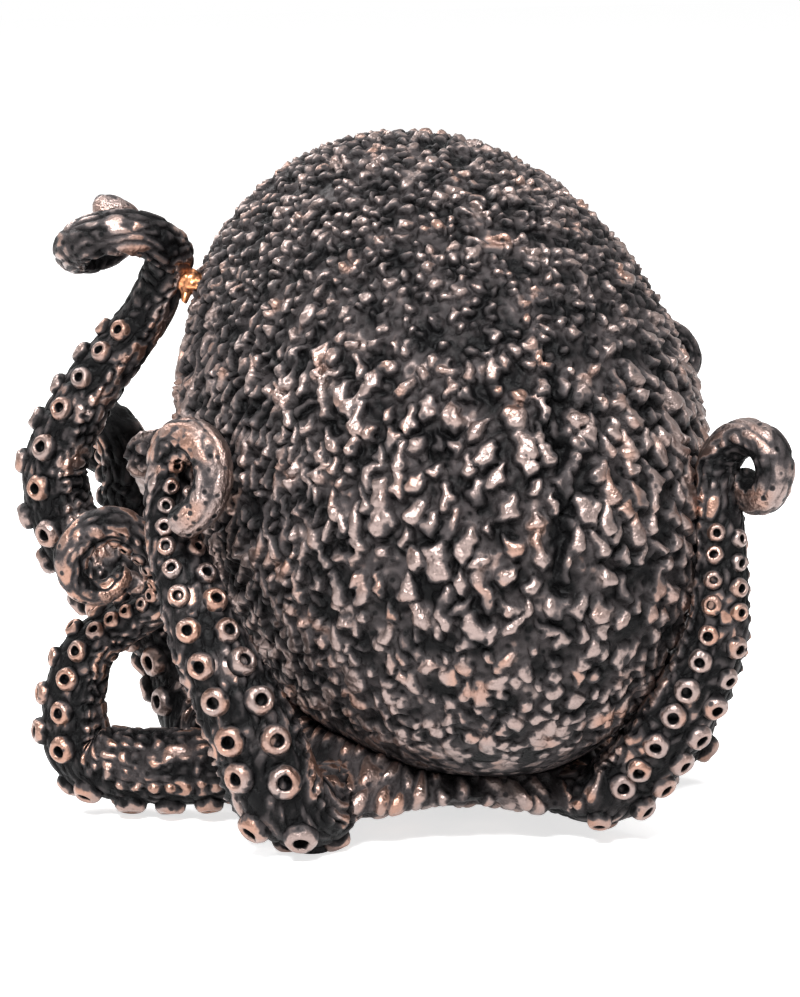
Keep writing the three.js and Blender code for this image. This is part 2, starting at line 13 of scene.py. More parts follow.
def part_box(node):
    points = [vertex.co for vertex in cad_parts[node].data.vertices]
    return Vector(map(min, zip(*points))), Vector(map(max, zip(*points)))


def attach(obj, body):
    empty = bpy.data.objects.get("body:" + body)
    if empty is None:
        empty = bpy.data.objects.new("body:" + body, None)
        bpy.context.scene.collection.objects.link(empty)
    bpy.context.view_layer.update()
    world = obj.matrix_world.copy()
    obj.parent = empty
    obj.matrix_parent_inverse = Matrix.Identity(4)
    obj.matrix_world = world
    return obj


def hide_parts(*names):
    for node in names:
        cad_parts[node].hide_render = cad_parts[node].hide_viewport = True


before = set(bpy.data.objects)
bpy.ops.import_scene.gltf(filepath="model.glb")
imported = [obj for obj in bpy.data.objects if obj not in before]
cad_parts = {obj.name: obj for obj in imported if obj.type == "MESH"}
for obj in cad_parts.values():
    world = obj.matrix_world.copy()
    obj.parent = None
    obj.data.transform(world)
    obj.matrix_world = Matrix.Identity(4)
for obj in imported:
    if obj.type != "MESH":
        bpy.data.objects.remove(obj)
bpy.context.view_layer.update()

# ---------------------------------------------------------------------------
# Camera. It looks at the back of the figurine, a little from the mantle's right and from slightly above,
# at the height where the dome and the two rear arms fill the frame as in the photograph.
foot_middle_y = 0.01237
ground_height = 0.0015
axis_foot = sum(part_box("pour_hole_plug"), Vector()) / 2 - Vector((0, foot_middle_y, 0))
axis_foot.z = -ground_height

view_azimuth = 155
view_elevation = 10
view_distance = 0.8
view_target = axis_foot + Vector((0.00766, -0.00126, 0.06557))


def aim(name, data, target, azimuth, elevation, distance):
    """Stands a camera or a lamp off from the target, by azimuth and elevation, and turns it to face it."""
    a, e = math.radians(azimuth), math.radians(elevation)
    back = Vector((math.sin(a) * math.cos(e), -math.cos(a) * math.cos(e), math.sin(e)))
    thing = bpy.data.objects.new(name, data)
    bpy.context.scene.collection.objects.link(thing)
    thing.location = target + back * distance
    thing.rotation_mode = "QUATERNION"
    thing.rotation_quaternion = (-back).to_track_quat("-Z", "Y")
    return thing


camera_data = bpy.data.cameras.new("camera")
camera = aim("camera", camera_data, view_target, view_azimuth, view_elevation, view_distance)
camera_data.sensor_width = 36
camera_data.lens = 140.2
camera_data.clip_start = 0.01
camera_data.clip_end = 20
bpy.context.scene.camera = camera

# ---------------------------------------------------------------------------
# Mantle with the skull face. One hollow cold-cast shell, sculpted all over with nubs and drips that
# run together like melted bark. The face is smoother bone: brows, sockets, cheekbones and upper jaw.
mantle_half = np.array([51.5, 75.0, 60.5])
mantle_tilt = math.radians(32)
mantle_centre = np.array([0.0, 0.0, 75.0])
mantle_foot_height = 16.0
eye_height = 83.0
eye_spread = 17.0
nose_height = 63.0
cheek_height = 67.0
jaw_height = 45.0
ray_centre = np.array([0.0, 0.0, 86.0])
sphere_steps = 136
nub_steps = 34
nub_jitter = 0.008
crown_nub_pitch = 2.5
drip_pitch_gain = 1.3
low_pitch_gain = 0.3
flank_pitch_loss = 1.1
nub_shoulder = 1.7
nub_rise = 1.4
drip_rise_gain = 0.6
nub_sway = 0.45
cleft_depth = 1.2
cleft_half_width = 1.3
skin_seed = 7


def smooth(values, low, high):
    share = np.clip((values - low) / (high - low), 0, 1)
    return share * share * (3 - 2 * share)


def unit(vectors):
    return vectors / np.maximum(np.linalg.norm(vectors, axis=-1, keepdims=True), 1e-12)


def scatter(numbers, seed):
    """Evenly scattered values from 0 to 1, the same ones for the same seed."""
    return np.modf(np.abs(np.sin(numbers * 12.9898 + seed * 78.233)) * 43758.5453)[0]


class SkinPattern:
    """A sculpted all-over pattern: many waves of about one length, so that its crests wander and
    join like the modelled nubs. It gives values round 0, mostly between -2 and 2."""

    golden_angle = 2.399963

    def __init__(self, seed, length, waves=56):
        number = np.arange(waves)
        rise = 1 - (2 * number + 1) / waves
        turn = number * self.golden_angle + seed
        level = np.sqrt(1 - rise**2)
        heading = np.stack([level * np.cos(turn), level * np.sin(turn), rise], 1)
        pitch = 2 * math.pi / (length * (0.82 + 0.43 * scatter(number, seed + 0.5)))
        self.wave = heading * pitch[:, None]
        self.start = 2 * math.pi * scatter(number, seed)
        self.gain = math.sqrt(2 / waves)

    def at(self, points):
        total = np.zeros(len(points))
        for wave, start in zip(self.wave, self.start):
            total += np.cos(points @ wave + start)
        return total * self.gain


def shaken(points, seeds, length, waves):
    """Three patterns side by side, as a shift of each point."""
    return np.stack([SkinPattern(seed, length, waves).at(points) for seed in seeds], 1)


def geodesic_sphere(steps):
    """Even directions over a sphere and the triangles between them."""
    golden = (1 + math.sqrt(5)) / 2
    corners = []
    for one in (-1, 1):
        for two in (-golden, golden):
            corners += [(0, one, two), (one, two, 0), (two, 0, one)]
    corners = unit(np.array(corners, float))
    apart = np.linalg.norm(corners[:, None] - corners[None], axis=2)
    edge = np.sort(apart, axis=1)[:, 1].mean() * 1.01
    sides = []
    for a, b, c in itertools.combinations(range(12), 3):
        if max(apart[a, b], apart[b, c], apart[a, c]) < edge:
            turn = np.dot(np.cross(corners[b] - corners[a], corners[c] - corners[a]), corners[a])
            sides.append((a, b, c) if turn > 0 else (a, c, b))
    rows = [(i, j) for i in range(steps + 1) for j in range(steps + 1 - i)]
    place = {row: n for n, row in enumerate(rows)}
    small = []
    for i in range(steps):
        for j in range(steps - i):
            small.append((place[i, j], place[i + 1, j], place[i, j + 1]))
            if i + j < steps - 1:
                small.append((place[i + 1, j], place[i + 1, j + 1], place[i, j + 1]))
    i, j = np.array(rows, float).T[:, :, None] / steps
    points = [corners[a] * (1 - i - j) + corners[b] * i + corners[c] * j for a, b, c in sides]
    points = unit(np.concatenate(points))
    triangles = np.concatenate([np.array(small) + n * len(rows) for n in range(len(sides))])
    key = np.round(points * 1e5).astype(np.int64)
    _, first, same = np.unique(key, axis=0, return_index=True, return_inverse=True)
    return points[first], same.reshape(-1)[triangles]


def ball(points, centre, radii, turn=0.0, spin=0.0):
    """Distance to an ellipsoid, nearly. Turn leans it about X and spin about Y."""
    q = points - np.array(centre, float)
    if turn:
        c, s = math.cos(turn), math.sin(turn)
        q = np.stack([q[:, 0], c * q[:, 1] - s * q[:, 2], s * q[:, 1] + c * q[:, 2]], 1)
    if spin:
        c, s = math.cos(spin), math.sin(spin)
        q = np.stack([c * q[:, 0] - s * q[:, 2], q[:, 1], s * q[:, 0] + c * q[:, 2]], 1)
    radii = np.array(radii, float)
    one = np.linalg.norm(q / radii, axis=1)
    two = np.linalg.norm(q / radii**2, axis=1)
    return one * (one - 1) / np.maximum(two, 1e-9)


def rod(points, start, end, start_radius, end_radius):
    """Distance to a round rod whose radius changes evenly from end to end."""
    start, end = np.array(start, float), np.array(end, float)
    along = end - start
    share = np.clip(((points - start) @ along) / (along @ along), 0, 1)
    gap = np.linalg.norm(points - start - share[:, None] * along, axis=1)
    return gap - start_radius - share * (end_radius - start_radius)


def melt(one, two, width):
    """Joins two forms with a rounded seam of this width."""
    share = np.clip(0.5 + 0.5 * (two - one) / width, 0, 1)
    return two * (1 - share) + one * share - width * share * (1 - share)


def carve(body, tool, width):
    return -melt(-body, tool, width)


def front_skin(x, height):
    """Where the plain mantle's front skin lies on Y."""
    level = height - mantle_centre[2]
    c, s = math.cos(mantle_tilt), math.sin(mantle_tilt)
    a = (c / mantle_half[1]) ** 2 + (s / mantle_half[2]) ** 2
    b = s * c * level * (1 / mantle_half[2] ** 2 - 1 / mantle_half[1] ** 2)
    d = (x / mantle_half[0]) ** 2 - 1
    d = d + (s * level / mantle_half[1]) ** 2 + (c * level / mantle_half[2]) ** 2
    return (-b - math.sqrt(max(b * b - a * d, 0))) / a


def on_skin(x, height, proud):
    return (x, front_skin(x, height) - proud, height)


def plain_mantle(points):
    return ball(points, mantle_centre, mantle_half, mantle_tilt)


def face_form(body, p):
    """The skull face worked into the front of the mantle. The two halves mirror each other."""
    p = np.stack([np.abs(p[:, 0]), p[:, 1], p[:, 2]], 1)
    # temples drawn in behind the sockets
    body = carve(body, ball(p, on_skin(43, 90, 8), (10, 19, 16)), 8)
    # brows, running down the outer rim of the socket
    brow = rod(p, on_skin(3, eye_height + 5, 0), on_skin(11, eye_height + 11, 2.5), 4, 5)
    brow = melt(brow, rod(p, on_skin(11, eye_height + 11, 2.5), on_skin(23, eye_height + 12, 3), 5, 4.8), 2)
    brow = melt(brow, rod(p, on_skin(23, eye_height + 12, 3), on_skin(31, eye_height + 3, 1), 4.8, 3.6), 2)
    body = melt(body, brow, 3.5)
    # cheekbones, from the upper jaw out and back to the temples
    cheek = rod(p, on_skin(13, cheek_height - 14, 1), on_skin(25, cheek_height - 8, 4.5), 5.5, 6.5)
    cheek = melt(cheek, rod(p, on_skin(25, cheek_height - 8, 4.5), (38, -55, cheek_height - 2), 6.5, 6), 3)
    cheek = melt(cheek, rod(p, (38, -55, cheek_height - 2), (46, -44, cheek_height + 4), 6, 4.6), 3)
    cheek = melt(cheek, rod(p, (46, -44, cheek_height + 4), (48, -30, cheek_height + 9), 4.6, 3), 3)
    body = melt(body, cheek, 3)
    # bridge of the nose
    bridge = rod(p, on_skin(0, eye_height + 6, 1), on_skin(0, nose_height + 9, 4), 5, 3.4)
    body = melt(body, bridge, 5)
    # upper jaw
    jaw_middle = front_skin(0, jaw_height) + 12
    body = melt(body, ball(p, (0, jaw_middle, jaw_height), (20, 17, 21)), 6)
    # hollow under the cheekbone
    body = carve(body, ball(p, on_skin(31, 46, 0), (9, 11, 9)), 6)
    # eye sockets, a little square and drooping outward
    eye_front = front_skin(eye_spread, eye_height)
    rim = ball(p, (eye_spread, eye_front - 1, eye_height), (12.4, 13, 10.8), 0, -0.25)
    body = carve(body, rim, 2.2)
    body = carve(body, ball(p, (eye_spread - 1, eye_front + 7, eye_height), (8.5, 11, 7.5)), 3)
    # nose opening, an upside-down heart
    nose_front = front_skin(0, nose_height)
    nose = ball(p, (2.9, nose_front + 1, nose_height - 3.5), (3.6, 13, 5.6), 0, 0.25)
    nose = melt(nose, ball(p, (0, nose_front + 1, nose_height + 4), (2.8, 12, 7)), 1.5)
    return carve(body, nose, 1.4)


def head_form(points):
    body = plain_mantle(points)
    face = points[:, 1] < -5
    body[face] = face_form(body[face], points[face])
    return body


def ring_faces(rings, around, first=0):
    """The faces between closed rings of points, row by row."""
    ring = np.arange(around)
    row = first + around * np.arange(rings - 1)[:, None]
    a, b = row + ring, row + (ring + 1) % around
    return np.stack([a, b, b + around, a + around], 2).reshape(-1, 4)


def neighbour_lists(triangles):
    ends = np.concatenate([triangles[:, [0, 1]], triangles[:, [1, 2]], triangles[:, [2, 0]]])
    return np.concatenate([ends, ends[:, ::-1]])


def evened(values, ends, rounds):
    """Each point's values averaged with its neighbours', over and over."""
    count = np.bincount(ends[:, 0], minlength=len(values)).astype(float)[:, None]
    for _ in range(rounds):
        total = np.stack([
            np.bincount(ends[:, 0], weights=values[ends[:, 1], k], minlength=len(values))
            for k in range(values.shape[1])
        ], 1)
        values = 0.5 * values + 0.5 * total / count
    return values


def outward(points, triangles):
    """Each point's outward direction, from the triangles round it."""
    first, second, third = points[triangles].transpose(1, 0, 2)
    side = np.cross(second - first, third - first)
    normal = np.zeros_like(points)
    for corner in range(3):
        for k in range(3):
            normal[:, k] += np.bincount(triangles[:, corner], weights=side[:, k], minlength=len(points))
    return unit(normal)


def stand_in_frame(name, points, faces, material, skin):
    """Makes the piece's object: millimetres to metres, smooth faces, and the skin's three values at each
    point: how far inside its nub it lies, how pitted the skin is, and how much it is rubbed, less
    where an arm's painted shade darkens it."""
    mesh = bpy.data.meshes.new(name)
    flat = (points * 0.001 + np.array(axis_foot)).astype(np.float32)
    faces = np.asarray(faces)
    corners = faces.shape[1]
    mesh.vertices.add(len(flat))
    mesh.vertices.foreach_set("co", flat.ravel())
    mesh.loops.add(faces.size)
    mesh.loops.foreach_set("vertex_index", faces.astype(np.int32).ravel())
    mesh.polygons.add(len(faces))
    mesh.polygons.foreach_set("loop_start", np.arange(0, faces.size, corners, dtype=np.int32))
    mesh.update(calc_edges=True)
    mesh.polygons.foreach_set("use_smooth", np.ones(len(faces), bool))
    values = mesh.attributes.new("skin", "FLOAT_VECTOR", "POINT").data
    values.foreach_set("vector", skin.astype(np.float32).ravel())
    mesh.materials.append(material)
    piece = bpy.data.objects.new(name, mesh)
    bpy.context.scene.collection.objects.link(piece)
    return piece


def tree_of(points):
    tree = kdtree.KDTree(len(points))
    for number, at in enumerate(points):
        tree.insert(at, number)
    tree.balance()
    return tree


def pair_chance(one, two, seed):
    """A scattered value for each pair of seeds, the same whichever of the two comes first."""
    return scatter(np.minimum(one, two) * 131.0 + np.maximum(one, two) * 17.0, seed)


def nubbed(points, seeds, join_share, seed):
    """How far, in millimetres, each point lies inside its nub. A nub is the room round one seed, and
    some neighbours join into worms by chance."""
    tree = tree_of(seeds)
    found = [tree.find_n(point, 3) for point in points]
    near = np.array([[hit[1] for hit in hits] for hits in found])
    gap = np.array([[hit[2] for hit in hits] for hits in found])
    joined = pair_chance(near[:, 0], near[:, 1], seed) < join_share
    return np.where(joined, gap[:, 2], gap[:, 1]) - gap[:, 0]


def thinned(points, pitch, draw):
    """Which points are left when none may stand nearer to another than its pitch."""
    tree = tree_of(points)
    left = np.ones(len(points), bool)
    for number in draw.permutation(len(points)):
        if left[number]:
            left[[hit[1] for hit in tree.find_range(points[number], pitch[number])]] = False
            left[number] = True
    return left


def dripped(points, seeds, normals, widths, lengths, join_share, seed):
    """How far, in millimetres, each point lies inside its drip, and how near it is to the drip's foot.
    A drip is a rounded run down the skin, fattest at its foot. Some neighbours join by chance."""
    tree = tree_of(seeds)
    near = np.array([[hit[1] for hit in tree.find_n(point, 6)] for point in points])
    number = np.arange(len(seeds))
    down = normals * normals[:, 2:] - np.array([0, 0, 1.0])
    down = unit(down + np.cross(normals, unit(down)) * (scatter(number, seed) - 0.5)[:, None] * 1.4)
    side = np.cross(normals, down)
    inside = np.zeros(near.shape)
    share = np.zeros(near.shape)
    for k, column in enumerate(near.T):
        gap = points - seeds[column]
        along = np.sum(gap * down[column], axis=1)
        share[:, k] = np.clip(along / lengths[column], -0.5, 0.5)
        off = np.hypot(np.sum(gap * side[column], axis=1), along - share[:, k] * lengths[column])
        inside[:, k] = widths[column] * (0.85 + 0.5 * share[:, k]) - off
    order = np.argsort(-inside, axis=1)
    first, second, third = np.take_along_axis(inside, order[:, :3], 1).T
    one, two = np.take_along_axis(near, order[:, :2], 1).T
    joined = pair_chance(one, two, seed) < join_share[np.minimum(one, two)]
    border = first - np.where(joined, third, second)
    foot_share = 0.5 + np.take_along_axis(share, order[:, :1], 1)[:, 0]
    return melt(first + 0.3, 1.05 * border, 0.4), foot_share


def nub_height(inside):
    """From 0 in the groove to 1 on top, over a rounded shoulder."""
    return 1 - (1 - np.clip(inside / nub_shoulder, 0, 1)) ** 2


def reached(form, centre, ways, start, stride, rounds):
    """How far from the centre the form's skin lies along each way, closing in on it stride by stride."""
    reach = np.full(len(ways), start)
    for _ in range(rounds):
        reach -= stride * form(centre + ways * reach[:, None])
    return reach


def head_reach(ways):
    return reached(head_form, ray_centre, ways, 95.0, 0.85, 34)


directions, mantle_triangles = geodesic_sphere(sphere_steps)
reach = head_reach(directions)
head_points = ray_centre + directions * reach[:, None]
foot = head_points[:, 2] < mantle_foot_height
reach[foot] = (mantle_foot_height - ray_centre[2]) / directions[foot, 2]
head_points = ray_centre + directions * reach[:, None]


def mantle_zones(points):
    """How much each point belongs to the bony face, to the dripping middle and to the fine net below."""
    x, y, z = points.T
    return (
        smooth(-y, 20, 36) * (1 - smooth(np.abs(x), 42, 52)) * (1 - smooth(z, 96, 108)),
        smooth(z, 44, 58) * (1 - smooth(z, 94, 108)),
        1 - smooth(z, 40, 56),
    )


x, y, z = head_points.T
on_face, drips, low_net = mantle_zones(head_points)
crown = 1 - drips - low_net
seated = smooth(z, 20, 28)
draw = np.random.default_rng(skin_seed)
nub_ways = geodesic_sphere(nub_steps)[0]
nub_ways = unit(nub_ways + draw.normal(size=nub_ways.shape) * nub_jitter)
nub_seeds = ray_centre + nub_ways * head_reach(nub_ways)[:, None]
_, drip_share, low_share = mantle_zones(nub_seeds)
flank = smooth(np.abs(nub_seeds[:, 0]), 34, 46) * drip_share
nub_pitch = crown_nub_pitch + drip_pitch_gain * drip_share + low_pitch_gain * low_share
nub_pitch -= flank_pitch_loss * flank
kept = thinned(nub_seeds, nub_pitch, draw)
nub_seeds, nub_pitch, flank = nub_seeds[kept], nub_pitch[kept], flank[kept]
drip_share, low_share = drip_share[kept], low_share[kept]
nub_widths = nub_pitch * (draw.uniform(0.42, 0.62, len(nub_seeds)) + 0.08 * low_share)
nub_lengths = nub_widths * draw.uniform(0.4, 1.1 + 1.3 * drip_share + 2 * flank)
join_share = 0.4 + 0.2 * drip_share + 0.5 * low_share
sway = shaken(head_points, (1, 2, 3), 7, 24) + shaken(head_points, (21, 22, 23), 2.8, 24) * 0.6
seed_normals = unit((nub_seeds - mantle_centre) / mantle_half**2)
inside, drip_foot = dripped(
    head_points + sway * nub_sway, nub_seeds, seed_normals, nub_widths, nub_lengths, join_share, 5
)
swell = SkinPattern(12, 8).at(head_points)
grit = SkinPattern(14, 2.2).at(head_points) * (1 - 0.5 * smooth(inside, 0, 1))
nub_depth = (nub_rise + drip_rise_gain * drips) * seated * (1 - on_face)
bone_grain = SkinPattern(16, 3.0).at(head_points)
proud = nub_depth * (nub_height(inside) * (0.75 + 0.45 * drip_foot + 0.1 * swell) - 0.78 + 0.12 * grit)
proud += on_face * 0.16 * bone_grain
cleft_line = 6 - (z - 75) * 0.1
cleft = np.exp(-(((x - cleft_line) / cleft_half_width) ** 2)) * smooth(y, 20, 40) * drips
proud -= cleft * cleft_depth
proud[foot] = 0
head_normals = outward(head_points, mantle_triangles)
head_ends = neighbour_lists(mantle_triangles)
head_smooth = evened(head_points, head_ends, 14)
ridge_height = np.sum((head_points - head_smooth) * head_normals, axis=1)
head_points = head_points + head_normals * proud[:, None]
bone_rub = 0.45 + 1.1 * ridge_height + 0.12 * bone_grain
nub_rub = 0.41 + 0.02 * crown - 0.4 * cleft + 0.05 * low_net + 0.09 * swell + 0.05 * grit
head_skin = np.stack([
    (1 - on_face) * inside * 1.8 + on_face * 3,
    0.3 + 0.15 * on_face,
    (1 - on_face) * nub_rub + on_face * (bone_rub - 0.2),
], 1)


def socket(group, name, kind, way, value=None):
    made = group.interface.new_socket(name=name, in_out=way, socket_type=kind)
    if value is not None:
        made.default_value = value
    return made


pale_copper, warm_copper = (0.23, 0.178, 0.164, 1), (0.28, 0.165, 0.125, 1)
black_patina, grey_patina = (0.003, 0.0029, 0.0032, 1), (0.085, 0.073, 0.074, 1)
clear, grain_shade = (1, 1, 1, 1), (0.5, 0.46, 0.45, 1)


def make_rubbed_finish():
    """Dark patina left in the grooves, metal rubbed bright where the casting stands proud."""
    group = bpy.data.node_groups.new("rubbed_finish", "ShaderNodeTree")
    socket(group, "Rub From", "NodeSocketFloat", "INPUT", 0.45)
    socket(group, "Rub To", "NodeSocketFloat", "INPUT", 0.6)
    socket(group, "Copper Share", "NodeSocketFloat", "INPUT", 0.5)
    socket(group, "Colour", "NodeSocketColor", "OUTPUT")
    socket(group, "Metal", "NodeSocketFloat", "OUTPUT")
    socket(group, "Roughness", "NodeSocketFloat", "OUTPUT")
    socket(group, "Height", "NodeSocketFloat", "OUTPUT")
    nodes, links = group.nodes, group.links
    entry = nodes.new("NodeGroupInput")
    leave = nodes.new("NodeGroupOutput")
    place = nodes.new("ShaderNodeTexCoord")
    skin = nodes.new("ShaderNodeAttribute")
    skin.attribute_name = "skin"
    parts = nodes.new("ShaderNodeSeparateXYZ")
    links.new(skin.outputs["Vector"], parts.inputs[0])

    def noise(scale, detail, roughness=0.5):
        node = nodes.new("ShaderNodeTexNoise")
        node.inputs["Scale"].default_value = scale
        node.inputs["Detail"].default_value = detail
        node.inputs["Roughness"].default_value = roughness
        links.new(place.outputs["Object"], node.inputs["Vector"])
        return node.outputs["Fac"]

    def feed(value, entry):
        if isinstance(value, (int, float, tuple)):
            entry.default_value = value
        else:
            links.new(value, entry)

    def maths(operation, *values):
        node = nodes.new("ShaderNodeMath")
        node.operation = operation
        for value, entry in zip(values, node.inputs):
            feed(value, entry)
        return node.outputs[0]

    def stepped(value, low, high):
        node = nodes.new("ShaderNodeMapRange")
        node.interpolation_type = "SMOOTHSTEP"
        feed(value, node.inputs["Value"])
        feed(low, node.inputs["From Min"])
        feed(high, node.inputs["From Max"])
        return node.outputs["Result"]

    def mixed(share, one, two, blend="MIX"):
        node = nodes.new("ShaderNodeMix")
        node.data_type = "RGBA"
        node.blend_type = blend
        for value, number in ((share, 0), (one, 6), (two, 7)):
            feed(value, node.inputs[number])
        return node.outputs[2]

    crumbs = noise(900, 3, 0.6)
    dents = maths("MULTIPLY", noise(1500, 2, 0.6), parts.outputs["Y"])
    patches = noise(110, 2)
    grain = noise(2600, 2)
    cells = nodes.new("ShaderNodeTexVoronoi")
    cells.inputs["Scale"].default_value = 430
    links.new(place.outputs["Object"], cells.inputs["Vector"])
    pit_bottom = maths("SUBTRACT", 1, stepped(cells.outputs["Distance"], 0.1, 0.34))
    pits = maths("MULTIPLY", pit_bottom, parts.outputs["Y"])
    ragged = maths("MULTIPLY_ADD", maths("SUBTRACT", crumbs, 0.5), 1.3, parts.outputs["X"])
    raised = maths("SUBTRACT", stepped(ragged, -0.3, 1.2), pits)
    stand = maths("MULTIPLY_ADD", stepped(ragged, 0.4, 3.2), 0.4, parts.outputs["Z"])
    stand = maths("MULTIPLY_ADD", maths("SUBTRACT", patches, 0.5), 0.3, stand)
    stand = maths("MULTIPLY_ADD", pits, -0.5, stand)
    rub = stepped(stand, entry.outputs["Rub From"], entry.outputs["Rub To"])
    halo = stepped(stand, maths("SUBTRACT", entry.outputs["Rub From"], 0.3), entry.outputs["Rub To"])
    warm = stepped(maths("ADD", patches, entry.outputs["Copper Share"]), 0.85, 1.15)
    metal = mixed(warm, pale_copper, warm_copper)
    dull = mixed(maths("MULTIPLY", halo, 0.65), black_patina, grey_patina)
    colour = mixed(rub, dull, metal)
    shade = mixed(maths("MULTIPLY", grain, 0.4), clear, grain_shade)
    links.new(mixed(1.0, colour, shade, "MULTIPLY"), leave.inputs["Colour"])
    links.new(maths("MULTIPLY", rub, 0.95), leave.inputs["Metal"])
    polish = maths("MULTIPLY_ADD", rub, -0.14, 0.37)
    links.new(maths("MULTIPLY_ADD", grain, 0.24, polish), leave.inputs["Roughness"])
    crust = maths("MULTIPLY_ADD", dents, 1.6, maths("MULTIPLY", grain, 0.12))
    crust = maths("MULTIPLY_ADD", crumbs, 0.35, crust)
    links.new(maths("ADD", raised, crust), leave.inputs["Height"])
    return group


rubbed_finish = make_rubbed_finish()


def new_material(name):
    material = bpy.data.materials.new(name)
    material.use_nodes = True
    nodes, links = material.node_tree.nodes, material.node_tree.links
    return material, nodes, links, nodes["Principled BSDF"]


def add_bump(nodes, links, shader, height, distance):
    bump = nodes.new("ShaderNodeBump")
    bump.inputs["Distance"].default_value = distance
    links.new(height, bump.inputs["Height"])
    links.new(bump.outputs["Normal"], shader.inputs["Normal"])


def rubbed_material(name, rub_from, rub_to, copper, bump):
    material, nodes, links, shader = new_material(name)
    shader.inputs["Specular IOR Level"].default_value = 0.06
    finish = nodes.new("ShaderNodeGroup")
    finish.node_tree = rubbed_finish
    finish.inputs["Rub From"].default_value = rub_from
    finish.inputs["Rub To"].default_value = rub_to
    finish.inputs["Copper Share"].default_value = copper
    links.new(finish.outputs["Colour"], shader.inputs["Base Color"])
    links.new(finish.outputs["Metal"], shader.inputs["Metallic"])
    links.new(finish.outputs["Roughness"], shader.inputs["Roughness"])
    add_bump(nodes, links, shader, finish.outputs["Height"], bump)
    return material


mantle_material = rubbed_material("rubbed_copper_mantle", 0.56, 0.74, 0.36, 0.0004)
mantle = stand_in_frame("mantle_and_skull_face", head_points, mantle_triangles, mantle_material, head_skin)
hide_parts("skull_mantle_shell")
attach(mantle, "root")

# Teeth of the upper jaw, cast in one with the face: eight blunt pegs side by side along its curve.
tooth_count = 8
tooth_width = 5.0
tooth_arc = 14.0
tooth_across = 20
tooth_rows = 12
tooth_half_width = 2.5
tooth_half_depth = 2.4
tooth_half_height = 7
teeth_height = jaw_height - 15
teeth_points, teeth_faces, teeth_relief = [], [], []
jaw_middle_y = front_skin(0, jaw_height) + 12
for number in range(tooth_count):
    lean = (number - (tooth_count - 1) / 2) * tooth_width / tooth_arc
    ring = np.linspace(0, 2 * math.pi, tooth_across, endpoint=False)
    for row in np.linspace(-math.pi / 2, math.pi / 2, tooth_rows):
        swell = abs(math.cos(row)) ** 0.45
        height = math.copysign(abs(math.sin(row)) ** 0.8, math.sin(row))
        wide = tooth_half_width - 0.25 * height
        side = np.sign(np.cos(ring)) * np.abs(np.cos(ring)) ** 0.75 * wide * swell
        deep = np.sign(np.sin(ring)) * np.abs(np.sin(ring)) ** 0.75 * tooth_half_depth * swell
        px = tooth_arc * math.sin(lean) + side * math.cos(lean) + deep * math.sin(lean)
        py = jaw_middle_y - 1 - tooth_arc * math.cos(lean) + side * math.sin(lean) - deep * math.cos(lean)
        pz = np.full_like(px, teeth_height + tooth_half_height * height)
        teeth_points.append(np.stack([px, py, pz], 1))
        teeth_relief.append(np.full(len(ring), 0.78 - 0.35 * smooth(height, 0.2, 1.0)))
    teeth_faces.append(ring_faces(tooth_rows, tooth_across, number * tooth_rows * tooth_across))


def plain_skin(relief):
    """Skin values of a form without nubs."""
    return np.stack([np.full(len(relief), 3.0), np.zeros(len(relief)), relief - 0.4], 1)


teeth = stand_in_frame(
    "upper_teeth", np.concatenate(teeth_points), np.concatenate(teeth_faces), mantle_material,
    plain_skin(np.concatenate(teeth_relief)),
)
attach(teeth, "root")

